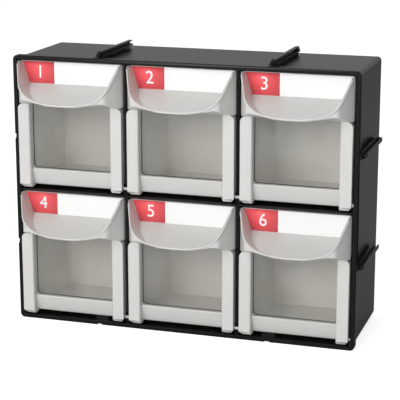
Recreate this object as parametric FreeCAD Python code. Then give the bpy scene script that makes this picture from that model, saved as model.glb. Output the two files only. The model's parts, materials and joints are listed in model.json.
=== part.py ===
"""Counter unit of tilt-out bins: a moulded case of six cells, each with a bin that tilts forward on two pins.

Lengths are millimetres. X runs across the front, +Y runs from the front to the back, +Z is up.
The origin is the middle of the front rim's underside, on which the case stands.
"""
import FreeCAD
import Part

import math
import os

from FreeCAD import Vector

# Case: the outer size is taken over the proud front rim
case_width = 356.0
case_height = 277.0
case_depth = 115.0
case_wall = 2.1
back_wall = 2.1
rim_proud = 2.3
rim_depth = 8.0
rim_corner_radius = 5.0
rim_front_chamfer = 0.8
body_corner_radius = 4.0
back_edge_chamfer = 1.2

# Cells: two rows of three, parted by a shelf and two upright dividers
column_count = 3
row_count = 2
divider_thickness = 2.4
shelf_thickness = 2.7
nose_setback = 1.0
nose_chamfer_share = 0.35
lap_clearance = 0.05

# Wall screws through the back
screw_hole_radius = 2.4
screw_inset_x = 33.0
screw_inset_z = 30.5

# Joining rails on the top and the right side, grooves for a neighbour's rails on the left and the bottom
rail_stand = 6.0
rail_base = 7.4
rail_flank = 4.5
rail_hook_reach = 8.5
rail_middle_reach = 9.7
rail_waist = 6.2
rail_start_gap = 0.4
rail_long_open = 88.0
rail_long_capped = 95.0
rail_side_open = 76.0
rail_side_capped = 77.0
rail_cap = 7.0
rail_cap_chamfer = 1.2
join_across_share = 0.25
join_height_share = 0.2
groove_width = 11.2
groove_clearance = 0.3
groove_wall = 1.4
peg_width = 4.0
peg_proud = 1.0
peg_setback = 1.0
peg_length = 5.0
notch_clearance = 0.5

# Bin front
side_gap = 1.75
top_gap = 1.3
foot_gap = 2.0
post_width = 12.0
post_proud = 4.0
post_edge_chamfer = 1.0
foot_bevel = 3.6
foot_chamfer = 3.2
shoulder_radius = 6.0
front_depth = 7.4
front_wall = 2.0

# Finger scoop at the top of the bin front
scoop_drop = 43.7
scoop_reach = 26.5
scoop_side_lean = 25.7
scoop_bow_radius = 200.0
scoop_corner_radius = 6.0
scoop_corner_start = 2.0
scoop_corner_climb = 20.0
scoop_corner_turn = 10.0
lip_thickness = 1.8
lip_bead = 0.8
pocket_floor_rise = 4.2
pocket_bow_radius = 141.0
pocket_corner_radius = 26.0
pocket_side_lean = 18.6
pocket_side_inset = 1.7
ramp_card_gap = 0.4
plate_thickness = 1.8

# Apron under the window
apron_rise = 5.3
apron_setback = 0.5
apron_lean = 5.5
window_rise = 21.5
window_corner = 2.4
apron_wall = 2.2
apron_ledge = 4.5

# Window pane and label card
pane_thickness = 1.5
pane_lap = 3.0
pane_tuck = 1.2
pane_clearance = 0.1
card_thickness = 0.4
card_height = 22.0
card_side_gap = 0.5
card_top_gap = 0.6

# Tub behind the front
tub_wall = 1.5
tub_inset = 8.8
tub_rise = 3.8
tub_back_gap = 15.4
tub_corner = 4.0
sweep_clearance = 1.7
stop_width = 7.0
stop_reach = 0.85
foot_rib_width = 3.0
foot_rib_length = 30.0
foot_rib_inset = 4.5
foot_rib_clearance = 0.3

# Pivot pins: a square shank in the post, a round journal in a socket whose mouth is narrower than the pin
pivot_rise = 6.9
pivot_setback = 3.0
pin_radius = 2.0
pin_reach = 1.1
pin_shank = 2.8
pin_seat = 7.0
pin_running_clearance = 0.08
pin_seat_clearance = 0.02
lug_radius = 4.4
lug_thickness = 1.2
lug_front_chamfer = 1.0
socket_depth = 1.5
socket_mouth = 3.2

# Overrun of every cut, and how near two coordinates are the same place
overrun = 5.0
same_place = 0.0001

# Places that follow from the sizes
rim_front = -rim_depth / 2
rim_back = rim_front + rim_depth
nose_front = rim_front + nose_setback
case_back = rim_front + case_depth
body_half = case_width / 2 - rim_proud
inner_half = body_half - case_wall
inner_bottom = rim_proud + case_wall
inner_top = case_height - inner_bottom
inner_back = case_back - back_wall
cell_width = (2 * inner_half - (column_count - 1) * divider_thickness) / column_count
cell_height = (inner_top - inner_bottom - (row_count - 1) * shelf_thickness) / row_count
column_pitch = cell_width + divider_thickness
row_pitch = cell_height + shelf_thickness
groove_front = rim_back + groove_wall
groove_depth = rail_stand + groove_clearance
bin_half = cell_width / 2 - side_gap
bin_top = cell_height - top_gap
post_front = rim_front - post_proud
front_back = rim_front + front_depth
scoop_bottom = cell_height - scoop_drop
window_half = bin_half - post_width
plate_front = front_back - plate_thickness
tub_half = bin_half - tub_inset
tub_back = inner_back - tub_back_gap
pivot_y = rim_front + pivot_setback


def block(low, high):
    """Box between two corners."""
    size = [b - a for a, b in zip(low, high)]
    return Part.makeBox(size[0], size[1], size[2], Vector(*low))


def prism(points, along):
    """Flat outline of points pushed along a vector."""
    corners = [Vector(*point) for point in points]
    face = Part.Face(Part.makePolygon(corners + [corners[0]]))
    return face.extrude(Vector(*along))


def at(value, target):
    """Whether a coordinate lies at a place."""
    return math.isclose(value, target, abs_tol=same_place)


def long_edges(shape, axis):
    """Straight edges along one axis: 0 for X, 1 for Y, 2 for Z."""
    found = []
    for edge in shape.Edges:
        if len(edge.Vertexes) == 2:
            start, end = (vertex.Point for vertex in edge.Vertexes)
            if all(at(start[i], end[i]) for i in range(3) if i != axis):
                found.append(edge)
    return found


def rounded_prism(low, high, radius):
    """Box whose four edges along Y are rounded."""
    body = block(low, high)
    return body.makeFillet(radius, long_edges(body, 1))


def column_x(column):
    """Middle of a column of cells."""
    return (column - (column_count - 1) / 2) * column_pitch


def row_floor(row):
    """Floor of a row of cells, row 0 at the top."""
    return inner_bottom + (row_count - 1 - row) * row_pitch


def divider_xs():
    """Middles of the upright dividers."""
    return [(column_x(i) + column_x(i + 1)) / 2 for i in range(column_count - 1)]


def join_xs():
    """Middles of the rails on the top and of the grooves in the bottom."""
    return [-join_across_share * case_width, join_across_share * case_width]


def join_zs():
    """Middles of the rails on the right side and of the grooves in the left side."""
    step = join_height_share * case_height
    return [case_height / 2 - step, case_height / 2 + step]


def case_rim():
    """Proud rim round the front of the case, with its front edge broken."""
    half = case_width / 2
    rim = rounded_prism((-half, rim_front, 0), (half, rim_back, case_height), rim_corner_radius)
    front_edges = [e for e in rim.Edges if all(at(v.Point.y, rim_front) for v in e.Vertexes)]
    return rim.makeChamfer(rim_front_chamfer, front_edges)


def case_body():
    """Outside of the case behind its rim."""
    body = rounded_prism((-body_half, rim_back, rim_proud), (body_half, case_back, case_height - rim_proud),
                         body_corner_radius)
    back_edges = [e for e in body.Edges if all(at(v.Point.y, case_back) for v in e.Vertexes)]
    return body.makeChamfer(back_edge_chamfer, back_edges)


def groove_frames():
    """Middle of each groove and its directions across and into the case: bottom grooves, then side ones."""
    frames = [(Vector(x, 0, 0), Vector(1, 0, 0), Vector(0, 0, 1)) for x in join_xs()]
    frames += [(Vector(-case_width / 2, 0, z), Vector(0, 0, 1), Vector(1, 0, 0)) for z in join_zs()]
    return frames


def channel(frame, half, low, high, front, back):
    """Bar along Y in a groove's directions: half its width across, and from low to high into the case."""
    middle, across, inward = frame
    corners = [(-half, low), (half, low), (half, high), (-half, high)]
    points = [middle + across * a + inward * b + Vector(0, front, 0) for a, b in corners]
    return prism([tuple(point) for point in points], (0, back - front, 0))


def join_grooves(case):
    """Case with its sunk grooves, whose ribs stand level with the rim."""
    half = groove_width / 2
    deep = groove_depth + groove_wall
    for frame in groove_frames():
        case = case.fuse(channel(frame, half + groove_wall, 0, deep, rim_back, case_back))
    for frame in groove_frames():
        case = case.cut(channel(frame, half, -overrun, groove_depth, groove_front, case_back + overrun))
    return case


def peg(frame):
    """Small locating peg on the rim, opposite a groove's notch."""
    middle, across, inward = frame
    return channel(frame, peg_width / 2, -peg_proud, case_wall, rim_front + peg_setback,
                   rim_front + peg_setback + peg_length)


def peg_frames():
    """Places of the pegs: two on the top, two on the right side."""
    frames = [(Vector(x, 0, case_height), Vector(1, 0, 0), Vector(0, 0, -1)) for x in join_xs()]
    frames += [(Vector(case_width / 2, 0, z), Vector(0, 0, 1), Vector(-1, 0, 0)) for z in join_zs()]
    return frames


def rim_pegs_and_notches(case):
    """Case with pegs on the top and right of its rim, and notches for a neighbour's pegs."""
    for frame in peg_frames():
        case = case.fuse(peg(frame))
    for frame in groove_frames():
        case = case.cut(channel(frame, peg_width / 2 + notch_clearance, -overrun, peg_proud + notch_clearance,
                                rim_front - overrun, rim_back))
    return case


def pivot_lug(x, outward, floor):
    """Lug on the cell floor against a wall at x, bevelled over the pivot, its face turned to outward."""
    start = min(x, x + outward * lug_thickness)
    top = floor + pivot_rise + lug_radius
    back = pivot_y + lug_radius
    bevel = lug_radius * (2 - math.sqrt(2))
    outline = [(nose_front, floor), (nose_front, top - lug_front_chamfer),
               (nose_front + lug_front_chamfer, top), (back - bevel, top), (back, top - bevel), (back, floor)]
    return prism([(start, y, z) for y, z in outline], (lug_thickness, 0, 0))


def pivot_socket(x_low, x_high, front, floor):
    """Running seat for a pivot pin, with a mouth from the front through which the pin snaps in."""
    height = floor + pivot_rise
    start = Vector(x_low, pivot_y, height)
    seat = Part.makeCylinder(pin_radius + pin_running_clearance, x_high - x_low, start, Vector(1, 0, 0))
    mouth = block((x_low, front, height - socket_mouth / 2), (x_high, pivot_y, height + socket_mouth / 2))
    return seat.fuse(mouth)


def case_shell():
    """Case moulding: rim, walls, back, grooves, pegs, outer pivot lugs and wall screw holes."""
    case = case_rim().fuse(case_body())
    case = join_grooves(case.cut(block((-inner_half, rim_front - overrun, inner_bottom),
                                       (inner_half, inner_back, inner_top))))
    case = rim_pegs_and_notches(case)
    for row in range(row_count):
        floor = row_floor(row)
        for side in (-1, 1):
            case = case.fuse(pivot_lug(side * inner_half, -side, floor))
    for row in range(row_count):
        floor = row_floor(row)
        reach = inner_half + socket_depth
        inside = inner_half - lug_thickness - overrun
        for low, high in ((inside, reach), (-reach, -inside)):
            case = case.cut(pivot_socket(low, high, nose_front, floor))
    for x, z in screw_places():
        case = case.cut(Part.makeCylinder(screw_hole_radius, back_wall + 2 * overrun,
                                          Vector(x, inner_back - overrun, z), Vector(0, 1, 0)))
    return case.removeSplitter()


def screw_places():
    """Four wall screw holes in the back, one near each corner."""
    x = case_width / 2 - screw_inset_x
    return [(side * x, z) for side in (-1, 1) for z in (screw_inset_z, case_height - screw_inset_z)]


def panel(low, high, axis):
    """Flat panel with a bevelled nose at its front, whose thickness lies along an axis."""
    body = block(low, high)
    thickness = high[axis] - low[axis]
    nose = [e for e in long_edges(body, 2 - axis) if at(e.Vertexes[0].Point.y, low[1])]
    return body.makeChamfer(nose_chamfer_share * thickness, nose)


def lap_slot_middle():
    """Depth at which the shelf and the dividers pass each other."""
    return (nose_front + inner_back) / 2


def shelf():
    """Shelf between the rows, slotted from the front for the dividers."""
    low = inner_bottom + cell_height
    body = panel((-inner_half, nose_front, low), (inner_half, inner_back, low + shelf_thickness), 2)
    half = divider_thickness / 2 + lap_clearance
    for x in divider_xs():
        body = body.cut(block((x - half, nose_front - overrun, low - overrun),
                              (x + half, lap_slot_middle(), low + shelf_thickness + overrun)))
    return body


def divider(x):
    """Upright divider at x, slotted from the back for the shelf, with pivot lugs on both faces."""
    half = divider_thickness / 2
    body = panel((x - half, nose_front, inner_bottom), (x + half, inner_back, inner_top), 0)
    low = inner_bottom + cell_height - lap_clearance
    high = inner_bottom + cell_height + shelf_thickness + lap_clearance
    body = body.cut(block((x - half - overrun, lap_slot_middle(), low),
                          (x + half + overrun, inner_back + overrun, high)))
    for row in range(row_count):
        floor = row_floor(row)
        for side in (-1, 1):
            body = body.fuse(pivot_lug(x + side * half, side, floor))
        reach = half + lug_thickness + overrun
        body = body.cut(pivot_socket(x - reach, x + reach, nose_front - overrun, floor))
    return body.removeSplitter()


def rail_outline():
    """Cross-section of a joining rail: slanted flank, then an open side with two hooks, (across, up)."""
    height = rail_stand + rim_proud
    hook_shares = (1.0, 0.86, 0.77, 0.58, 0.51, 0.37, 0.3, 0.14)
    reaches = (rail_hook_reach, rail_hook_reach, rail_waist, rail_waist,
               rail_middle_reach, rail_middle_reach, rail_waist, rail_waist)
    outline = [(0, 0), (rail_flank, height)]
    outline += [(reach, share * height) for reach, share in zip(reaches, hook_shares)]
    outline.append((rail_base, 0))
    return outline


def rail(foot, across, up, length, capped):
    """Joining rail along Y from its foot's front corner, with a solid cap on its rear end if it is capped."""
    def place(point):
        return tuple(foot + across * point[0] + up * point[1])

    body = prism([place(point) for point in rail_outline()], (0, length, 0))
    if capped:
        height = rail_stand + rim_proud
        outline = [(0, 0), (rail_flank, height), (rail_hook_reach, height), (rail_middle_reach, height / 2),
                   (rail_base, 0)]
        cap = prism([place(point) for point in outline], (0, rail_cap, 0))
        cap.translate(Vector(0, length - rail_cap, 0))
        ends = [e for e in cap.Edges if all(at(v.Point.y, foot.y + length) for v in e.Vertexes)]
        away = [e for e in ends if any((v.Point - foot).dot(up) > height / 3 for v in e.Vertexes)]
        body = body.fuse(cap.makeChamfer(rail_cap_chamfer, away)).removeSplitter()
    return body


def top_rail(x, length, capped):
    """Joining rail on the top of the case, its middle at x."""
    foot = Vector(x - rail_middle_reach / 2, groove_front + rail_start_gap, case_height - rim_proud)
    return rail(foot, Vector(1, 0, 0), Vector(0, 0, 1), length, capped)


def side_rail(z, length, capped):
    """Joining rail on the right side of the case, its middle at z."""
    foot = Vector(body_half, groove_front + rail_start_gap, z - rail_middle_reach / 2)
    return rail(foot, Vector(0, 0, 1), Vector(1, 0, 0), length, capped)


def u_bar(half_at, top, floor, radius, corner_radius, place, along):
    """Bar with a U outline: leaning sides, a bowed floor and rounded lower corners.

    half_at gives half the width at a level, and place turns a width and a level into a point.
    """
    run = (half_at(top) - half_at(floor)) / (top - floor)
    centre = floor + radius
    base = half_at(centre)
    a = 1 + run * run
    drop = (base * run + math.sqrt(a * radius * radius - base * base)) / a
    half, level = base - run * drop, centre - drop
    left_top, right_top = place(-half_at(top), top), place(half_at(top), top)
    left, right = place(-half, level), place(half, level)
    edges = [Part.makeLine(left_top, right_top), Part.makeLine(right_top, right),
             Part.Arc(right, place(0, floor), left).toShape(), Part.makeLine(left, left_top)]
    bar = Part.Face(Part.Wire(edges)).extrude(along)
    corners = [e for e in bar.Edges for corner in (left, right) if is_on(e, corner, corner + along)]
    return bar.makeFillet(corner_radius, corners)


def is_on(edge, start, end):
    """Whether an edge runs between two points."""
    ends = [vertex.Point for vertex in edge.Vertexes]
    return len(ends) == 2 and all(any(at(p.distanceToPoint(q), 0) for q in ends) for p in (start, end))


def skin(grow):
    """Upright solid behind the scoop's front: leaning cheeks, a bowed front and rounded corners in plan."""
    lean = math.radians(scoop_side_lean)

    def half_at(depth):
        return bin_half + grow / math.cos(lean) + (depth - rim_front) * math.tan(lean)

    return u_bar(half_at, front_back + overrun, rim_front - scoop_reach - grow, scoop_bow_radius + grow,
                 scoop_corner_radius + grow, lambda x, y: Vector(x, y, scoop_bottom),
                 Vector(0, 0, bin_top - scoop_bottom))


def mouth_half(height, grow):
    """Half the width of the scoop's mouth between its leaning sides, at a height, grown outwards."""
    lean = math.radians(pocket_side_lean)
    return bin_half - pocket_side_inset + grow / math.cos(lean) - (bin_top - height) * math.tan(lean)


def pocket(grow):
    """Space of the scoop's mouth above its ramp, grown outwards, as deep as the bin front."""
    front = rim_front - scoop_reach - overrun
    floor = scoop_bottom + pocket_floor_rise
    space = u_bar(lambda z: mouth_half(z, grow), bin_top + overrun, floor - grow, pocket_bow_radius + grow,
                  pocket_corner_radius + grow, lambda x, z: Vector(x, front, z),
                  Vector(0, front_back - front, 0))
    ramp_front = (rim_front - scoop_reach, floor - grow)
    ramp_back = (plate_front, bin_top - card_top_gap - card_height - ramp_card_gap - grow)
    below = [ramp_front, ramp_back, (front_back, ramp_back[1]), (front_back, scoop_bottom - overrun),
             (ramp_front[0], scoop_bottom - overrun)]
    return space.cut(prism([(-bin_half, y, z) for y, z in below], (2 * bin_half, 0, 0)))


def underside(rise):
    """Waste under the scoop, whose underside climbs from the posts to the lip, lifted by a rise."""
    far = rim_front - scoop_reach - overrun
    slope = (pocket_floor_rise - lip_thickness) / (post_front - rim_front + scoop_reach)
    low = scoop_bottom + rise
    outline = [(front_back + overrun, low), (post_front, low), (far, low + (post_front - far) * slope),
               (far, scoop_bottom - overrun), (front_back + overrun, scoop_bottom - overrun)]
    return prism([(-bin_half - overrun, y, z) for y, z in outline], (2 * (bin_half + overrun), 0, 0))


def corner_waste(side, rise):
    """Waste under a lower corner of the scoop: it climbs from the post along the lip, lifted by a rise."""
    low = scoop_bottom + rise
    deep = scoop_reach + overrun
    climb = deep * math.tan(math.radians(scoop_corner_climb))
    ramp = [(post_front, low), (post_front - deep, low + climb), (post_front - deep, low)]
    start = scoop_corner_start
    end = bin_half + overrun
    turn = (end - start) * math.tan(math.radians(scoop_corner_turn))
    slant = [(side * start, low), (side * end, low), (side * end, low + turn)]
    waste = prism([(-bin_half, y, z) for y, z in ramp], (2 * bin_half, 0, 0))
    return waste.common(prism([(x, post_front, z) for x, z in slant], (0, -deep, 0)))


def scoop_hollow():
    """Space inside the scoop, open to the back, with a wall left round skin, mouth and underside."""
    lean = math.radians(scoop_side_lean)
    side = bin_half - front_wall
    corner_y = rim_front - scoop_reach + 2 * front_wall + scoop_corner_radius
    corner_x = side - (rim_front - corner_y) * math.tan(lean)
    front_x = corner_x - scoop_corner_radius
    front_y = corner_y - scoop_corner_radius * math.sin(lean)
    right = [(side, front_back + overrun), (side, rim_front + front_wall * math.tan(lean / 2)),
             (corner_x, corner_y), (front_x, front_y)]
    plan = right + [(-x, y) for x, y in reversed(right)]
    hollow = prism([(x, y, scoop_bottom) for x, y in plan], (0, 0, bin_top + overrun - scoop_bottom))
    corners = [corner_waste(side, front_wall) for side in (-1, 1)]
    return hollow.cut(corners + [underside(front_wall), pocket(lip_thickness)])


def scoop():
    """Finger scoop: leaning cheeks, a ramp behind the mouth, a beaded lip, and the plate for the label."""
    bead = pocket(lip_thickness).common(skin(lip_bead))
    body = skin(0).cut([corner_waste(-1, 0), corner_waste(1, 0)]).fuse(bead)
    body = body.cut([scoop_hollow(), pocket_to_plate(), underside(0)])
    return body.common(block((-bin_half, rim_front - scoop_reach - overrun, scoop_bottom),
                             (bin_half, front_back, bin_top)))


def pocket_to_plate():
    """The mouth's space as it is cut: in front of the plate that carries the label."""
    return pocket(0).common(block((-bin_half, rim_front - scoop_reach - overrun, scoop_bottom),
                                  (bin_half, plate_front, bin_top + overrun)))


def post(side):
    """Upright post beside the window, rounded at its outer shoulder and bevelled at its foot."""
    inner = side * window_half
    outer = side * bin_half
    low = (min(inner, outer), post_front, foot_gap)
    high = (max(inner, outer), front_back, scoop_bottom)
    body = block(low, high)
    shoulder = [e for e in long_edges(body, 1)
                if at(e.Vertexes[0].Point.x, outer) and at(e.Vertexes[0].Point.z, scoop_bottom)]
    body = body.makeFillet(shoulder_radius, shoulder)
    toe = [e for e in long_edges(body, 1)
           if at(e.Vertexes[0].Point.x, outer) and at(e.Vertexes[0].Point.z, foot_gap)]
    body = body.makeChamfer(foot_chamfer, toe)
    inner_front = [e for e in long_edges(body, 2)
                   if at(e.Vertexes[0].Point.y, post_front) and at(e.Vertexes[0].Point.x, inner)]
    return body.makeChamfer(post_edge_chamfer, inner_front).cut(foot_waste(side))


def foot_waste(side):
    """Waste below the bevel on the front of a post's foot, which lets the foot turn clear of the floor."""
    low_x = min(side * window_half, side * bin_half) - overrun
    corner = (low_x, post_front - overrun, foot_gap - overrun)
    outline = [corner, (low_x, post_front + foot_bevel + overrun, foot_gap - overrun),
               (low_x, post_front - overrun, foot_gap + foot_bevel + overrun)]
    return prism(outline, (post_width + 2 * overrun, 0, 0))


def apron():
    """Leaning board under the window, hollowed from behind, with a ledge along its top."""
    top_y = rim_front + apron_setback
    low_y = top_y + apron_lean
    half = window_half + post_edge_chamfer
    outline = [(top_y, window_rise), (front_back, window_rise), (front_back, tub_rise), (low_y, apron_rise)]
    body = prism([(-half, y, z) for y, z in outline], (2 * half, 0, 0))
    ledge = window_rise - apron_ledge
    slope = apron_lean / (window_rise - apron_rise)
    inside_top = top_y + apron_ledge * slope + apron_wall
    inside_low = low_y + apron_wall
    if inside_low < front_back:
        body = body.cut(prism([(-window_half, inside_top, ledge), (-window_half, front_back + overrun, ledge),
                               (-window_half, front_back + overrun, apron_rise),
                               (-window_half, inside_low, apron_rise)], (2 * window_half, 0, 0)))
    top_edge = [e for e in long_edges(body, 0)
                if at(e.Vertexes[0].Point.y, top_y) and at(e.Vertexes[0].Point.z, window_rise)]
    return body.makeChamfer(post_edge_chamfer, top_edge)


def window_corners():
    """Small webs across the window's two lower corners, in front of the pane."""
    webs = []
    low_y = front_back - pane_thickness - front_wall
    for side in (-1, 1):
        x = side * window_half
        outline = [(x, window_rise), (x - side * window_corner, window_rise),
                   (x, window_rise + window_corner)]
        webs.append(prism([(a, low_y, b) for a, b in outline], (0, front_wall, 0)))
    return webs


def pane_space(grow):
    """Space of the window pane, let into the back of the bin front."""
    half = window_half + pane_lap + grow
    return block((-half, front_back - pane_thickness - grow, window_rise - pane_lap - grow),
                 (half, front_back, scoop_bottom + pane_tuck + grow))


def bin_front():
    """Bin front moulding: posts, apron and scoop, with a rebate for the pane and seats for the pivot pins."""
    body = scoop().fuse([post(-1), post(1), apron()] + window_corners())
    rebate = pane_space(pane_clearance)
    body = body.cut(rebate)
    for side in (-1, 1):
        body = body.cut(shank_space(side, pin_seat_clearance, overrun))
    return body.removeSplitter()


def shank_space(side, grow, beyond):
    """Square bar in the foot of a post, round the pivot axis, that may run out beyond the post's side."""
    half = pin_shank / 2 + grow
    inner = side * (bin_half - pin_seat - grow)
    outer = side * (bin_half + beyond)
    return block((min(inner, outer), pivot_y - half, pivot_rise - half),
                 (max(inner, outer), pivot_y + half, pivot_rise + half))


def pivot_pins():
    """The bin's two pins, each with a square shank in a post and a round journal that reaches the case."""
    pins = []
    for side in (-1, 1):
        start = Vector(side * bin_half, pivot_y, pivot_rise)
        journal = Part.makeCylinder(pin_radius, side_gap + pin_reach, start, Vector(side, 0, 0))
        pins.append(journal.fuse(shank_space(side, 0, 0)))
    return Part.makeCompound(pins)


def window():
    """Clear pane behind the window opening."""
    return pane_space(0)


def label_card():
    """Card behind the scoop's mouth, cut to the leaning sides."""
    front = plate_front - card_thickness
    top = bin_top - card_top_gap
    low = top - card_height
    half_top, half_low = mouth_half(top, -card_side_gap), mouth_half(low, -card_side_gap)
    outline = [(-half_low, low), (half_low, low), (half_top, top), (-half_top, top)]
    return prism([(x, front, z) for x, z in outline], (0, card_thickness, 0))


def sweep_radius():
    """Reach from the pivot that still passes under the ceiling of the cell."""
    return cell_height - pivot_rise - sweep_clearance


def tub():
    """Open tub behind the front, its sides cut on an arc about the pivot so that they swing clear."""
    radius = sweep_radius()
    blank = block((-tub_half, front_back, tub_rise), (tub_half, tub_back, cell_height))
    upright = [e for e in long_edges(blank, 2) if at(e.Vertexes[0].Point.y, tub_back)]
    blank = blank.makeChamfer(tub_corner, upright)
    swing = Part.makeCylinder(radius, 2 * tub_half, Vector(-tub_half, pivot_y, pivot_rise), Vector(1, 0, 0))
    body = blank.common(swing)
    inside = block((-tub_half + tub_wall, front_back - overrun, tub_rise + tub_wall),
                   (tub_half - tub_wall, tub_back - tub_wall, cell_height + overrun))
    upright = [e for e in long_edges(inside, 2) if at(e.Vertexes[0].Point.y, tub_back - tub_wall)]
    inside = inside.makeChamfer(tub_corner - (2 - math.sqrt(2)) * tub_wall, upright)
    body = body.cut(inside)
    return body.fuse([stop_tab(-1), stop_tab(1), foot_rib(-1), foot_rib(1)]).removeSplitter()


def foot_rib(side):
    """Rib under the rear of the tub, on which the closed bin rests."""
    outer = side * (tub_half - foot_rib_inset)
    inner = outer - side * foot_rib_width
    back = tub_back - tub_corner
    return block((min(outer, inner), back - foot_rib_length, foot_rib_clearance),
                 (max(outer, inner), back, tub_rise + tub_wall))


def stop_tab(side):
    """Tab on a rear corner of the tub that meets the cell's ceiling when the bin is fully open."""
    reach = cell_height - pivot_rise + stop_reach
    rise = math.sqrt(reach ** 2 - (tub_back - pivot_y) ** 2)
    root = math.sqrt(sweep_radius() ** 2 - (tub_back - pivot_y) ** 2)
    outer = side * (tub_half - tub_corner)
    inner = side * (tub_half - tub_corner - stop_width)
    return block((min(outer, inner), tub_back - tub_wall, pivot_rise + root - stop_width),
                 (max(outer, inner), tub_back, pivot_rise + rise))


def save(shape, node):
    """Write one node's solids."""
    shape.exportStep("parts/" + node + ".step")
    print(node, len(shape.Solids), "solids", round(shape.Volume), "mm3", "valid", shape.isValid())


def main():
    """Build the case's pieces, then one bin's pieces and their copies in every cell."""
    os.makedirs("parts", exist_ok=True)
    save(case_shell(), "case_shell")
    save(shelf(), "shelf")
    for name, x in zip(("divider_left", "divider_right"), divider_xs()):
        save(divider(x), name)
    save(top_rail(join_xs()[0], rail_long_open, False), "top_rail_left")
    save(top_rail(join_xs()[1], rail_long_capped, True), "top_rail_right")
    save(side_rail(join_zs()[0], rail_side_open, False), "side_rail_lower")
    save(side_rail(join_zs()[1], rail_side_capped, True), "side_rail_upper")
    pieces = {"front": bin_front(), "window": window(), "label": label_card(), "tub": tub(),
              "pivot_pins": pivot_pins()}
    number = 0
    for row in range(row_count):
        for column in range(column_count):
            number += 1
            for name, shape in pieces.items():
                copy = shape.copy()
                copy.translate(Vector(column_x(column), 0, row_floor(row)))
                save(copy, "bin_" + str(number) + "_" + name)


main()
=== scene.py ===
"""Looks of the tilt-bin counter unit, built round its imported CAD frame.

Lengths in the code are metres unless a name ends in _mm. X runs across the front, +Y to the back
and +Z up.
"""

import json
import logging
import math
from dataclasses import dataclass, field
from enum import Enum

import bmesh
import bpy
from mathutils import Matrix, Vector
from mathutils.bvhtree import BVHTree

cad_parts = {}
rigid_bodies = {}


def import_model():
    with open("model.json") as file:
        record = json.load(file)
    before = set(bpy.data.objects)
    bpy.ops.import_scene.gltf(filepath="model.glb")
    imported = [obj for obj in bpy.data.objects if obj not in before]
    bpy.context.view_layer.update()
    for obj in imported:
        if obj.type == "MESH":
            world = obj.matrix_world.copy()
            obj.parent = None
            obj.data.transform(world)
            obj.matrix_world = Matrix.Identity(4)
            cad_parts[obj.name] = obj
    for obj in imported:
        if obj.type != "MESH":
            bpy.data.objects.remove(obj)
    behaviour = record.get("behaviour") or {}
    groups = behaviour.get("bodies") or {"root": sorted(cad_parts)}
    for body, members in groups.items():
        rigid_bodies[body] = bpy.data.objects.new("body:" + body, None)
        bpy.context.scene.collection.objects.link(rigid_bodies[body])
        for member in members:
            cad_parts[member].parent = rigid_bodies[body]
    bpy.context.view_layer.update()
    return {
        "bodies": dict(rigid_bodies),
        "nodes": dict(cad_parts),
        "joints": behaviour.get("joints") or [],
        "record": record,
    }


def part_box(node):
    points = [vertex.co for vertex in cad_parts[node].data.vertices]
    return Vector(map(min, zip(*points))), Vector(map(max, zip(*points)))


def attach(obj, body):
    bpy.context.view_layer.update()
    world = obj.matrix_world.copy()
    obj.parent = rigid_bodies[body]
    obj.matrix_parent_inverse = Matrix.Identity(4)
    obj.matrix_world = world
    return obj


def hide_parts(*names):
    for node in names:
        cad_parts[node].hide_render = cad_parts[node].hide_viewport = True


logging.basicConfig(level=logging.INFO, format="%(message)s")
log = logging.getLogger("tilt_bins")

MM = 0.001
WELD = 0.002 * MM
BIN_COUNT = 6
# Sockets of a Mix node that mixes colours, by number, as its other kinds' sockets share the names
MIX_A, MIX_B, MIX_COLOUR = 6, 7, 2


def linear(hex_code: str) -> tuple[float, float, float, float]:
    """Turn an sRGB hex colour into linear light.

    Args:
        hex_code: colour such as "#d3d4d5".

    Returns:
        Red, green, blue and an alpha of 1.
    """
    channels = [int(hex_code[i:i + 2], 16) / 255 for i in (1, 3, 5)]
    light = [c / 12.92 if c <= 0.04045 else ((c + 0.055) / 1.055) ** 2.4 for c in channels]
    return (light[0], light[1], light[2], 1.0)


def add_node(tree: bpy.types.NodeTree, kind: str, settings: dict | None = None,
             inputs: dict | None = None) -> bpy.types.Node:
    """Add one node to a tree, with its settings and its inputs.

    Args:
        tree: the tree that gets the node.
        kind: the node's type name.
        settings: properties of the node.
        inputs: a value or another node's output socket for each input, by name or number.

    Returns:
        The new node.
    """
    node = tree.nodes.new(kind)
    for name, value in (settings or {}).items():
        setattr(node, name, value)
    for name, value in (inputs or {}).items():
        if isinstance(value, bpy.types.NodeSocket):
            tree.links.new(value, node.inputs[name])
        else:
            node.inputs[name].default_value = value
    return node


def fresh_material(name: str) -> tuple[bpy.types.Material, bpy.types.NodeTree]:
    """Make an empty node material.

    Args:
        name: its name.

    Returns:
        The material and its node tree.
    """
    material = bpy.data.materials.new(name)
    material.use_nodes = True
    material.node_tree.nodes.clear()
    return material, material.node_tree


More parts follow.
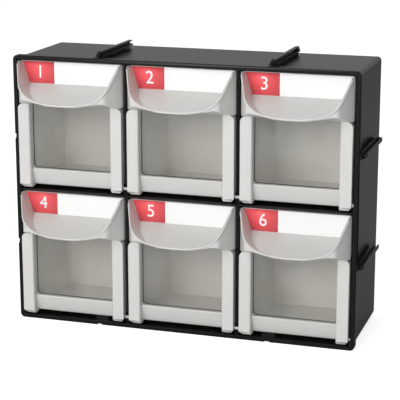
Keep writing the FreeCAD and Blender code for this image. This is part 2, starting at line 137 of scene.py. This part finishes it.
@dataclass(frozen=True)
class MouldedPlastic:
    """Injection-moulded thermoplastic: one pigment right through, a spark-eroded or satin skin.

    The real grain is about 0.1 mm, too fine to show in the render, so it is drawn coarser.
    """

    name: str
    pigment: str
    worn_pigment: str
    roughness: float
    roughness_spread: float
    ior: float
    grain_mm: float
    grain_height_mm: float
    flow_mm: float
    flow_detail: float = 3.0
    flow_roughness: float = 0.55
    grain_detail: float = 2.0
    grain_roughness: float = 0.6
    grain_strength: float = 0.6

    def material(self) -> bpy.types.Material:
        """Build the plastic: flow clouds in the pigment, a fine grain in the skin, uneven polish.

        Returns:
            The material.
        """
        material, tree = fresh_material(self.name)
        place = add_node(tree, "ShaderNodeTexCoord").outputs["Object"]
        flow = add_node(tree, "ShaderNodeTexNoise", None,
                        {"Vector": place, "Scale": 1 / (self.flow_mm * MM),
                         "Detail": self.flow_detail, "Roughness": self.flow_roughness})
        tint = add_node(tree, "ShaderNodeMix", {"data_type": "RGBA"},
                        {"Factor": flow.outputs["Fac"],
                         MIX_A: linear(self.pigment), MIX_B: linear(self.worn_pigment)})
        grain = add_node(tree, "ShaderNodeTexNoise", None,
                         {"Vector": place, "Scale": 1 / (self.grain_mm * MM),
                          "Detail": self.grain_detail, "Roughness": self.grain_roughness})
        polish = add_node(tree, "ShaderNodeMapRange", None,
                          {"Value": grain.outputs["Fac"],
                           "To Min": self.roughness - self.roughness_spread,
                           "To Max": self.roughness + self.roughness_spread})
        bump = add_node(tree, "ShaderNodeBump", None,
                        {"Height": grain.outputs["Fac"],
                         "Distance": self.grain_height_mm * MM, "Strength": self.grain_strength})
        shader = add_node(tree, "ShaderNodeBsdfPrincipled", None,
                          {"Base Color": tint.outputs[MIX_COLOUR],
                           "Roughness": polish.outputs["Result"], "IOR": self.ior,
                           "Normal": bump.outputs["Normal"]})
        add_node(tree, "ShaderNodeOutputMaterial", None, {"Surface": shader.outputs["BSDF"]})
        return material


@dataclass(frozen=True)
class ClearSheet:
    """Clear styrene sheet, extruded and polished: nearly unseen, softly mirroring, faintly hazy."""

    name: str = "clear_styrene_sheet"
    tint: str = "#e2e3df"
    alpha: float = 0.06
    haze_alpha: float = 0.04
    roughness: float = 0.08
    ior: float = 1.45
    haze_mm: float = 38.0
    haze_detail: float = 1.0
    haze_from: float = 0.35
    haze_to: float = 0.65

    def material(self) -> bpy.types.Material:
        """Build the sheet: nearly clear, with a haze that drifts across it.

        Returns:
            The material.
        """
        material, tree = fresh_material(self.name)
        place = add_node(tree, "ShaderNodeTexCoord").outputs["Object"]
        haze = add_node(tree, "ShaderNodeTexNoise", None,
                        {"Vector": place, "Scale": 1 / (self.haze_mm * MM),
                         "Detail": self.haze_detail})
        cloud = add_node(tree, "ShaderNodeMapRange", None,
                         {"Value": haze.outputs["Fac"],
                          "From Min": self.haze_from, "From Max": self.haze_to,
                          "To Min": self.alpha, "To Max": self.alpha + self.haze_alpha})
        shader = add_node(tree, "ShaderNodeBsdfPrincipled", None,
                          {"Base Color": linear(self.tint), "Roughness": self.roughness,
                           "IOR": self.ior, "Alpha": cloud.outputs["Result"]})
        add_node(tree, "ShaderNodeOutputMaterial", None, {"Surface": shader.outputs["BSDF"]})
        return material


@dataclass(frozen=True)
class PrintedCard:
    """Coated card, printed in one colour: a smooth sheet with the card's faint fibre in it.

    The real fibres are finer than the render can show, so they are drawn coarser.
    """

    name: str
    ink: str
    fibre: str
    roughness: float
    fibre_mm: float = 0.9
    fibre_height_mm: float = 0.02
    fibre_detail: float = 4.0
    fibre_roughness: float = 0.7
    fibre_strength: float = 0.4

    def material(self) -> bpy.types.Material:
        """Build the card: ink, a faint fibre and a soft coating.

        Returns:
            The material.
        """
        material, tree = fresh_material(self.name)
        place = add_node(tree, "ShaderNodeTexCoord").outputs["Object"]
        fibre = add_node(tree, "ShaderNodeTexNoise", None,
                         {"Vector": place, "Scale": 1 / (self.fibre_mm * MM),
                          "Detail": self.fibre_detail, "Roughness": self.fibre_roughness})
        tint = add_node(tree, "ShaderNodeMix", {"data_type": "RGBA"},
                        {"Factor": fibre.outputs["Fac"],
                         MIX_A: linear(self.ink), MIX_B: linear(self.fibre)})
        bump = add_node(tree, "ShaderNodeBump", None,
                        {"Height": fibre.outputs["Fac"],
                         "Distance": self.fibre_height_mm * MM, "Strength": self.fibre_strength})
        shader = add_node(tree, "ShaderNodeBsdfPrincipled", None,
                          {"Base Color": tint.outputs[MIX_COLOUR], "Roughness": self.roughness,
                           "Normal": bump.outputs["Normal"]})
        add_node(tree, "ShaderNodeOutputMaterial", None, {"Surface": shader.outputs["BSDF"]})
        return material


@dataclass(frozen=True)
class StudioPaper:
    """White background paper: it keeps shadows and is lifted to white where the camera sees it.

    Reflections see it greyer than it is, so that the black plastic stays as dark as photographed.
    """

    name: str = "studio_paper"
    colour: str = "#f4f4f4"
    mirrored_colour: str = "#b0b0b0"
    lift: float = 0.72
    glossy_lift: float = 0.02

    def material(self) -> bpy.types.Material:
        """Build the paper, whose lift is added to its own light so that it keeps shadows.

        Returns:
            The material.
        """
        material, tree = fresh_material(self.name)
        path = add_node(tree, "ShaderNodeLightPath")
        seen = add_node(tree, "ShaderNodeMix", {"data_type": "RGBA"},
                        {"Factor": path.outputs["Is Glossy Ray"],
                         MIX_A: linear(self.colour), MIX_B: linear(self.mirrored_colour)})
        paper = add_node(tree, "ShaderNodeBsdfDiffuse", None, {"Color": seen.outputs[MIX_COLOUR]})
        straight = add_node(tree, "ShaderNodeMath", {"operation": "MAXIMUM"},
                            {0: path.outputs["Is Camera Ray"],
                             1: path.outputs["Is Transmission Ray"]})
        mirrored = add_node(tree, "ShaderNodeMath", {"operation": "MULTIPLY"},
                            {0: path.outputs["Is Glossy Ray"], 1: self.glossy_lift})
        strength = add_node(tree, "ShaderNodeMath", {"operation": "MULTIPLY_ADD"},
                            {0: straight.outputs[0], 1: self.lift, 2: mirrored.outputs[0]})
        glow = add_node(tree, "ShaderNodeEmission", None,
                        {"Color": (1, 1, 1, 1), "Strength": strength.outputs[0]})
        both = add_node(tree, "ShaderNodeAddShader", None,
                        {0: paper.outputs[0], 1: glow.outputs[0]})
        add_node(tree, "ShaderNodeOutputMaterial", None, {"Surface": both.outputs[0]})
        return material


class Finish(Enum):
    """Every finish of the unit and the studio."""

    # Black high-impact styrene, moulded in a fine spark-eroded tool: dark face on, with a broad
    # sheen at a glance
    CASE = MouldedPlastic("black_styrene_moulded", pigment="#0f0f0e", worn_pigment="#141413",
                          roughness=0.28, roughness_spread=0.04, ior=1.4, grain_mm=0.7,
                          grain_height_mm=0.015, flow_mm=60.0)
    # Light grey ABS from a polished tool: even, satin, with soft highlights along its edges
    BIN = MouldedPlastic("light_grey_abs_moulded", pigment="#d4d3d0", worn_pigment="#d8d7d4",
                         roughness=0.36, roughness_spread=0.04, ior=1.52, grain_mm=0.9,
                         grain_height_mm=0.012, flow_mm=40.0)
    # Warm grey ABS of the tubs, satin, seen through the windows
    TUB = MouldedPlastic("warm_grey_abs_moulded", pigment="#e2dfd7", worn_pigment="#e6e3dc",
                         roughness=0.42, roughness_spread=0.04, ior=1.52, grain_mm=1.4,
                         grain_height_mm=0.006, flow_mm=40.0)
    # Clear sheet, and a dark bead round each window: painted shade for the shadow gap at the pane's
    # edge
    CLEAR = ClearSheet()
    CUT_EDGE = MouldedPlastic("painted_shade_pane_edge", pigment="#2a2920", worn_pigment="#35332b",
                              roughness=0.3, roughness_spread=0.05, ior=1.59, grain_mm=0.8,
                              grain_height_mm=0.01, flow_mm=12.0)
    # Coated card, and its printed red and white inks: smooth, with a faint fibre
    CARD = PrintedCard("white_coated_card", ink="#fafafa", fibre="#f4f4f4", roughness=0.45)
    RED = PrintedCard("red_printed_card", ink="#fc6269", fibre="#f75c63", roughness=0.4)
    NUMERAL = PrintedCard("white_printed_numeral", ink="#ffffff", fibre="#f8f8f8", roughness=0.4)
    # White background paper, matt
    PAPER = StudioPaper()


class Paintbox:
    """Builds each finish once and hands it out."""

    def __init__(self) -> None:
        """Start with no finish built."""
        self.built: dict[Finish, bpy.types.Material] = {}

    def get(self, finish: Finish) -> bpy.types.Material:
        """Give a finish's material, building it the first time.

        Args:
            finish: which finish.

        Returns:
            Its material.
        """
        if finish not in self.built:
            self.built[finish] = finish.value.material()
        return self.built[finish]

    def dress(self, thing: bpy.types.Object, finish: Finish) -> None:
        """Give all of a mesh object one finish."""
        thing.data.materials.clear()
        thing.data.materials.append(self.get(finish))


def put_in_scene(name: str, data: bpy.types.ID) -> bpy.types.Object:
    """Make an object of a mesh, curve, lamp or camera and link it to the scene.

    Args:
        name: the object's name.
        data: what it shows.

    Returns:
        The object, at the origin.
    """
    thing = bpy.data.objects.new(name, data)
    bpy.context.scene.collection.objects.link(thing)
    return thing


def weld(mesh: bpy.types.Mesh) -> None:
    """Join the doubled points of a mesh.

    Args:
        mesh: the mesh, changed in place.
    """
    work = bmesh.new()
    work.from_mesh(mesh)
    bmesh.ops.remove_doubles(work, verts=work.verts, dist=WELD)
    work.to_mesh(mesh)
    work.free()


def evaluated_mesh(thing: bpy.types.Object) -> bpy.types.Mesh:
    """Give what an object's modifiers or letters come to, as a plain mesh.

    Args:
        thing: a mesh or text object.

    Returns:
        The new mesh.
    """
    bpy.context.view_layer.update()
    graph = bpy.context.evaluated_depsgraph_get()
    return bpy.data.meshes.new_from_object(thing.evaluated_get(graph))


def merged_copy(node: str, name: str) -> bpy.types.Object:
    """Copy a CAD node's mesh into a new object, with its loose triangles joined.

    Args:
        node: the CAD node.
        name: the new object's name.

    Returns:
        The new object, at the origin.
    """
    mesh = bpy.data.objects[node].data.copy()
    for layer in ("custom_normal", "sharp_face", "sharp_edge"):
        if layer in mesh.attributes:
            mesh.attributes.remove(mesh.attributes[layer])
    weld(mesh)
    return put_in_scene(name, mesh)


def settle(thing: bpy.types.Object) -> None:
    """Turn an object's modifiers into its own plain mesh.

    Args:
        thing: a mesh object with live modifiers.
    """
    mesh = evaluated_mesh(thing)
    thing.modifiers.clear()
    thing.data = mesh


@dataclass(frozen=True)
class EdgeBreak:
    """How softly a tool breaks the sharp edges of a moulding.

    Edges shorter than least_edge_mm stay sharp, so that small arcs and corners don't fold. Angles
    are in degrees: an edge counts as sharp from sharp_from on, and faces within flat_within of each
    other as one.
    """

    width_mm: float
    least_edge_mm: float = 3.0
    segments: int = 2
    sharp_from: float = 32.0
    flat_within: float = 0.4
    flat_weight: int = 100

    def moulding(self, node: str, name: str) -> bpy.types.Object:
        """Copy a CAD node as a moulding with broken edges, and let it stand for the node.

        Args:
            node: the CAD node.
            name: the new piece's name.

        Returns:
            The new piece.
        """
        thing = merged_copy(node, name)
        work = bmesh.new()
        work.from_mesh(thing.data)
        bmesh.ops.dissolve_limit(work, angle_limit=math.radians(self.flat_within),
                                 verts=work.verts, edges=work.edges)
        broken = work.edges.layers.float.new("bevel_weight_edge")
        for edge in work.edges:
            if edge.calc_face_angle(0.0) > math.radians(self.sharp_from):
                is_long = edge.calc_length() > self.least_edge_mm * MM
                edge[broken] = 1.0 if is_long else 0.0
                edge.smooth = is_long
        for face in work.faces:
            face.smooth = True
        work.to_mesh(thing.data)
        work.free()
        bevel = thing.modifiers.new("edge_break", "BEVEL")
        bevel.limit_method = "WEIGHT"
        bevel.width = self.width_mm * MM
        bevel.segments = self.segments
        bevel.use_clamp_overlap = False
        flat = thing.modifiers.new("flat_faces", "WEIGHTED_NORMAL")
        flat.mode = "FACE_AREA"
        flat.weight = self.flat_weight
        flat.keep_sharp = True
        settle(thing)
        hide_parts(node)
        return thing


class BeadSweep:
    """Geometry Nodes tree that sweeps a round bead along a path of edges."""

    crease: float = math.radians(50.0)

    def __init__(self) -> None:
        """Build the tree with its named inputs."""
        self.tree = bpy.data.node_groups.new("swept_bead", "GeometryNodeTree")
        sockets = self.tree.interface
        sockets.new_socket("Path", in_out="INPUT", socket_type="NodeSocketGeometry")
        self.radius, self.sides, self.finish = (
            sockets.new_socket(name, in_out="INPUT", socket_type=kind).identifier
            for name, kind in (("Bead Radius", "NodeSocketFloat"), ("Bead Sides", "NodeSocketInt"),
                               ("Finish", "NodeSocketMaterial")))
        sockets.new_socket("Bead", in_out="OUTPUT", socket_type="NodeSocketGeometry")
        given = add_node(self.tree, "NodeGroupInput").outputs
        path = add_node(self.tree, "GeometryNodeMeshToCurve", None, {"Mesh": given["Path"]})
        section = add_node(self.tree, "GeometryNodeCurvePrimitiveCircle", None,
                           {"Resolution": given["Bead Sides"], "Radius": given["Bead Radius"]})
        bead = add_node(self.tree, "GeometryNodeCurveToMesh", None,
                        {"Curve": path.outputs["Curve"],
                         "Profile Curve": section.outputs["Curve"], "Fill Caps": True})
        real = add_node(self.tree, "GeometryNodeRealizeInstances", None,
                        {"Geometry": bead.outputs["Mesh"]})
        coated = add_node(self.tree, "GeometryNodeSetMaterial", None,
                          {"Geometry": real.outputs["Geometry"], "Material": given["Finish"]})
        add_node(self.tree, "NodeGroupOutput", None, {"Bead": coated.outputs["Geometry"]})

    def along(self, name: str, points: list[Vector], closed: bool, radius: float,
              sides: int, finish: bpy.types.Material) -> bpy.types.Object:
        """Sweep a bead along points.

        Args:
            name: the new piece's name.
            points: the path.
            closed: whether the path comes back to its start.
            radius: the bead's radius.
            sides: how many sides its section has.
            finish: its material.

        Returns:
            The bead, as a plain mesh.
        """
        mesh = bpy.data.meshes.new(name)
        edges = [(i, i + 1) for i in range(len(points) - 1)]
        if closed:
            edges.append((len(points) - 1, 0))
        mesh.from_pydata(points, edges, [])
        thing = put_in_scene(name, mesh)
        sweep = thing.modifiers.new("sweep", "NODES")
        sweep.node_group = self.tree
        sweep[self.radius] = radius
        sweep[self.sides] = sides
        sweep[self.finish] = finish
        settle(thing)
        thing.data.shade_smooth()
        thing.data.set_sharp_from_angle(angle=self.crease)
        return thing


@dataclass(frozen=True)
class LipLine:
    """Outline of a scoop's mouth from the front: leaning sides, rounded corners, a bowed floor.

    Widths are from the bin's middle, and levels from its cell's floor. The line lies grow outside
    the mouth, and starts start_drop under the bin's top.
    """

    half_top: float = 53.62 * MM
    top: float = 131.45 * MM
    lean: float = math.radians(18.6)
    floor: float = 93.25 * MM
    bow_radius: float = 141.0 * MM
    corner_radius: float = 26.0 * MM
    grow: float = 0.9 * MM
    start_drop: float = 2.5 * MM
    steps: int = 9

    def right_half(self) -> list[tuple[float, float]]:
        """Follow the lip from its right top end to the middle of its floor.

        Returns:
            Width and level of each point.
        """
        # The corner's arc touches the leaning side and, from inside, the bow of the floor
        radius, bow = self.corner_radius + self.grow, self.bow_radius + self.grow
        run, rise = math.tan(self.lean), 1 / math.cos(self.lean)
        side = self.half_top + self.grow * rise - self.top * run
        centre = self.floor - self.grow + bow
        inner = side - radius * rise
        square = 1 + run * run
        half_sum = (inner * run - centre) / square
        product = (inner ** 2 + centre ** 2 - (bow - radius) ** 2) / square
        level = -half_sum - math.sqrt(half_sum ** 2 - product)
        corner = (inner + level * run, level)
        first = self.top - self.start_drop
        last = corner[1] - radius * math.sin(self.lean)
        shares = [i / self.steps for i in range(self.steps + 1)]
        points = [(side + z * run, z) for z in (first + (last - first) * t for t in shares)]
        turned = math.atan2(corner[0], centre - corner[1])
        start = math.pi / 2 - self.lean
        points += [(corner[0] + radius * math.sin(a), corner[1] - radius * math.cos(a))
                   for a in (start + (turned - start) * t for t in shares[1:])]
        points += [(bow * math.sin(a), centre - bow * math.cos(a))
                   for a in (turned * (1 - t) for t in shares[1:])]
        return points

    def points(self) -> list[tuple[float, float]]:
        """Follow the whole lip from its right end to its left one, as widths and levels."""
        right = self.right_half()
        return right + [(-x, z) for x, z in reversed(right[:-1])]


@dataclass
class Case:
    """The dark moulded case with its shelf, dividers and joining rails."""

    paint: Paintbox
    nodes: tuple[str, ...] = ("case_shell", "shelf", "divider_left", "divider_right",
                              "top_rail_left", "top_rail_right", "side_rail_lower",
                              "side_rail_upper")
    edges: EdgeBreak = EdgeBreak(width_mm=0.2)

    def build(self) -> list[str]:
        """Mould and dress the case's pieces.

        Returns:
            The names of its pieces.
        """
        pieces = []
        for node in self.nodes:
            piece = self.edges.moulding(node, node + "_moulding")
            self.paint.dress(piece, Finish.CASE)
            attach(piece, "case")
            pieces.append(piece.name)
        return pieces


@dataclass
class TiltBin:
    """One bin: front, lip bead, window, tub, pins, and a label with a red field and a numeral."""

    paint: Paintbox
    sweep: BeadSweep
    number: int
    lip: LipLine = LipLine()
    front_edges: EdgeBreak = EdgeBreak(width_mm=0.2, least_edge_mm=1.0)
    tub_edges: EdgeBreak = EdgeBreak(width_mm=0.3)
    foot_gap: float = 2.0 * MM
    ray_start: float = 200.0 * MM
    bead_radius: float = 0.9 * MM
    bead_sides: int = 10
    bead_sunk: float = 0.3 * MM
    pane_lap: float = 3.0 * MM
    pane_tuck: float = 1.2 * MM
    edge_radius: float = 0.45 * MM
    edge_sides: int = 8
    edge_inset: float = 0.3 * MM
    corner_web: float = 2.4 * MM
    tag_left: float = 4.0 * MM
    tag_right: float = -18.5 * MM
    print_height: float = 0.05 * MM
    numeral_size: float = 18.0 * MM
    pieces: list[str] = field(default_factory=list)

    @property
    def prefix(self) -> str:
        """Start of this bin's node names."""
        return "bin_%d_" % self.number

    @property
    def body(self) -> str:
        """Name of this bin's body."""
        return "bin_%d" % self.number

    def build(self, frame: dict) -> list[str]:
        """Mould the bin's front and tub, dress its other CAD pieces, and print its label.

        Args:
            frame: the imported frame.

        Returns:
            The names of its pieces.
        """
        for piece, edges, finish, slot in (("front", self.front_edges, Finish.BIN, "bin_plastic"),
                                           ("tub", self.tub_edges, Finish.TUB, "tub_plastic")):
            moulding = edges.moulding(self.prefix + piece, self.prefix + piece + "_moulding")
            self.paint.dress(moulding, finish)
            self.claim(moulding)
            if piece == "front":
                self.lip_bead(moulding)
        for piece, finish in (("window", Finish.CLEAR), ("label", Finish.CARD),
                              ("pivot_pins", Finish.BIN)):
            self.paint.dress(frame["nodes"][self.prefix + piece], finish)
            self.pieces.append(self.prefix + piece)
        self.pane_edge()
        self.red_field()
        self.numeral()
        return self.pieces

    def claim(self, piece: bpy.types.Object) -> None:
        """Let a piece ride on this bin and note its name.

        Args:
            piece: a finished piece.
        """
        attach(piece, self.body)
        self.pieces.append(piece.name)

    def middle(self) -> float:
        """Middle of the bin across the front."""
        low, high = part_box(self.prefix + "label")
        return (low.x + high.x) / 2

    def lip_bead(self, front: bpy.types.Object) -> None:
        """Run the rounded bead along the scoop's lip.

        Args:
            front: the moulding that carries it.
        """
        mesh = front.data
        skin = BVHTree.FromPolygons([v.co for v in mesh.vertices],
                                    [p.vertices for p in mesh.polygons])
        middle, floor = self.middle(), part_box(self.prefix + "front")[0].z - self.foot_gap
        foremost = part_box(self.prefix + "front")[0].y + self.bead_radius
        path = []
        for x, z in self.lip.points():
            place = Vector((middle + x, -self.ray_start, floor + z))
            met = skin.ray_cast(place, Vector((0, 1, 0)))[0]
            if met is not None:
                # Sunk a little into the lip, and no further forward than the moulding itself
                path.append(Vector((met.x, max(met.y + self.bead_sunk, foremost), met.z)))
        piece = self.sweep.along(self.prefix + "lip_bead", path, False, self.bead_radius,
                                 self.bead_sides, self.paint.get(Finish.BIN))
        self.claim(piece)

    def pane_edge(self) -> None:
        """Run a dark bead round the window opening with its bevelled lower corners, as painted
        shade for the shadow gap at the pane's edge.
        """
        low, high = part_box(self.prefix + "window")
        inset = self.pane_lap + self.edge_inset
        left, right = low.x + inset, high.x - inset
        floor, top = low.z + inset, high.z - self.pane_tuck + self.edge_radius
        corner = self.corner_web
        outline = [(left + corner, floor), (right - corner, floor), (right, floor + corner),
                   (right, top), (left, top), (left, floor + corner)]
        points = [Vector((x, low.y, z)) for x, z in outline]
        # The dark bead is painted shade: a line standing for the shadow gap at the pane's edge
        piece = self.sweep.along(self.prefix + "pane_edge", points, True, self.edge_radius,
                                 self.edge_sides, self.paint.get(Finish.CUT_EDGE))
        self.claim(piece)

    def red_field(self) -> None:
        """Print the red field on the left of the card, cut to the card's own outline."""
        field_print = merged_copy(self.prefix + "label", self.prefix + "red_field")
        low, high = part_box(self.prefix + "label")
        cut = Vector((self.middle() + self.tag_right, 0, 0))
        work = bmesh.new()
        work.from_mesh(field_print.data)
        everything = list(work.verts) + list(work.edges) + list(work.faces)
        bmesh.ops.bisect_plane(work, geom=everything, plane_co=cut, plane_no=(1, 0, 0),
                               clear_outer=True)
        bmesh.ops.holes_fill(work, edges=[e for e in work.edges if e.is_boundary])
        for vert in work.verts:
            is_front = abs(vert.co.y - low.y) < abs(vert.co.y - high.y)
            vert.co.y = low.y - self.print_height if is_front else low.y
        bmesh.ops.remove_doubles(work, verts=work.verts, dist=WELD)
        bmesh.ops.dissolve_degenerate(work, dist=WELD, edges=work.edges)
        bmesh.ops.recalc_face_normals(work, faces=work.faces)
        work.to_mesh(field_print.data)
        work.free()
        self.paint.dress(field_print, Finish.RED)
        self.claim(field_print)

    def numeral(self) -> None:
        """Print the bin's plain numeral on the red field."""
        low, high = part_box(self.prefix + "label")
        words = bpy.data.curves.new(self.prefix + "numeral", "FONT")
        words.body = str(self.number)
        words.size = self.numeral_size
        words.align_x = "CENTER"
        words.align_y = "CENTER"
        words.extrude = self.print_height / 2
        maker = put_in_scene("maker", words)
        mesh = evaluated_mesh(maker)
        bpy.data.objects.remove(maker)
        centre_x = (low.x + self.tag_left + self.middle() + self.tag_right) / 2
        # The red print takes the first print height in front of the card, the numeral the second
        front = low.y - 1.5 * self.print_height
        for vert in mesh.vertices:
            x, y, z = vert.co
            vert.co = (centre_x + x, front - z, (low.z + high.z) / 2 + y)
        weld(mesh)
        thing = put_in_scene(self.prefix + "numeral", mesh)
        self.paint.dress(thing, Finish.NUMERAL)
        self.claim(thing)


@dataclass(frozen=True)
class SoftLamp:
    """One soft square lamp that faces the unit; one that isn't mirrored shows in no gloss."""

    name: str
    place: tuple[float, float, float]
    side: float
    watts: float
    mirrored: bool = True
    aim: tuple[float, float, float] = (0.0, 0.05, 0.12)

    def hang(self) -> None:
        """Hang the lamp and turn it to the unit."""
        light = bpy.data.lights.new(self.name, "AREA")
        light.size = self.side
        light.energy = self.watts
        lamp = put_in_scene(self.name, light)
        lamp.location = self.place
        facing = Vector(self.aim) - Vector(self.place)
        lamp.rotation_euler = facing.to_track_quat("-Z", "Y").to_euler()
        lamp.visible_glossy = self.mirrored


@dataclass
class Studio:
    """Camera, soft lamps, pale floor and white surroundings."""

    paint: Paintbox
    sensor_width: float = 36.0
    clip_end: float = 100.0
    lens: float = 130.87
    place: tuple[float, float, float] = (0.437, -1.3332, 0.4931)
    turn: tuple[float, float, float] = (90 - 14.17, 0.0, 17.431)
    floor_size: float = 12.0
    soft_light: float = 0.29
    glossy_white: float = 0.42
    lamps: tuple[SoftLamp, ...] = (
        SoftLamp("key", place=(-0.7, -2.0, 1.3), side=1.6, watts=25.0),
        SoftLamp("front", place=(0.0, -2.6, 0.7), side=1.4, watts=22.0, mirrored=False),
        SoftLamp("fill", place=(1.4, -2.0, 0.8), side=1.6, watts=0.6),
        SoftLamp("top", place=(0.0, 0.3, 2.2), side=1.8, watts=6.0))

    def build(self) -> None:
        """Set up the camera, the floor, the world and the lamps."""
        self.camera()
        self.floor()
        self.world()
        for lamp in self.lamps:
            lamp.hang()

    def camera(self) -> None:
        """Put the camera where the photograph was taken from."""
        lens = bpy.data.cameras.new("camera")
        lens.lens = self.lens
        lens.sensor_width = self.sensor_width
        lens.clip_end = self.clip_end
        camera = put_in_scene("camera", lens)
        camera.location = self.place
        camera.rotation_euler = [math.radians(a) for a in self.turn]
        bpy.context.scene.camera = camera

    def floor(self) -> None:
        """Lay the pale floor under the unit."""
        mesh = bpy.data.meshes.new("floor")
        half = self.floor_size / 2
        corners = [(-half, -half, 0), (half, -half, 0), (half, half, 0), (-half, half, 0)]
        mesh.from_pydata(corners, [], [(0, 1, 2, 3)])
        floor = put_in_scene("floor", mesh)
        self.paint.dress(floor, Finish.PAPER)

    def world(self) -> None:
        """Surround the unit with soft light, white to the camera and dimmer in reflections."""
        world = bpy.data.worlds.new("studio")
        world.use_nodes = True
        tree = world.node_tree
        tree.nodes.clear()
        path = add_node(tree, "ShaderNodeLightPath")
        straight = add_node(tree, "ShaderNodeMath", {"operation": "MAXIMUM"},
                            {0: path.outputs["Is Camera Ray"],
                             1: path.outputs["Is Transmission Ray"]})
        mirrored = add_node(tree, "ShaderNodeMath", {"operation": "MULTIPLY_ADD"},
                            {0: path.outputs["Is Glossy Ray"],
                             1: self.glossy_white - self.soft_light, 2: self.soft_light})
        strength = add_node(tree, "ShaderNodeMath",
                            {"operation": "MULTIPLY_ADD", "use_clamp": True},
                            {0: straight.outputs[0], 1: 1.0, 2: mirrored.outputs[0]})
        light = add_node(tree, "ShaderNodeBackground", None,
                         {"Color": (1, 1, 1, 1), "Strength": strength.outputs[0]})
        add_node(tree, "ShaderNodeOutputWorld", None, {"Surface": light.outputs[0]})
        bpy.context.scene.world = world


def main() -> None:
    """Build the unit's looks in order and report each piece."""
    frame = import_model()
    bpy.context.scene.view_settings.view_transform = "Standard"
    paint = Paintbox()
    Studio(paint).build()
    pieces = Case(paint).build()
    sweep = BeadSweep()
    for number in range(1, BIN_COUNT + 1):
        pieces += TiltBin(paint, sweep, number).build(frame)
    for piece in pieces:
        log.info("built %s", piece)


if __name__ == "__main__":
    main()
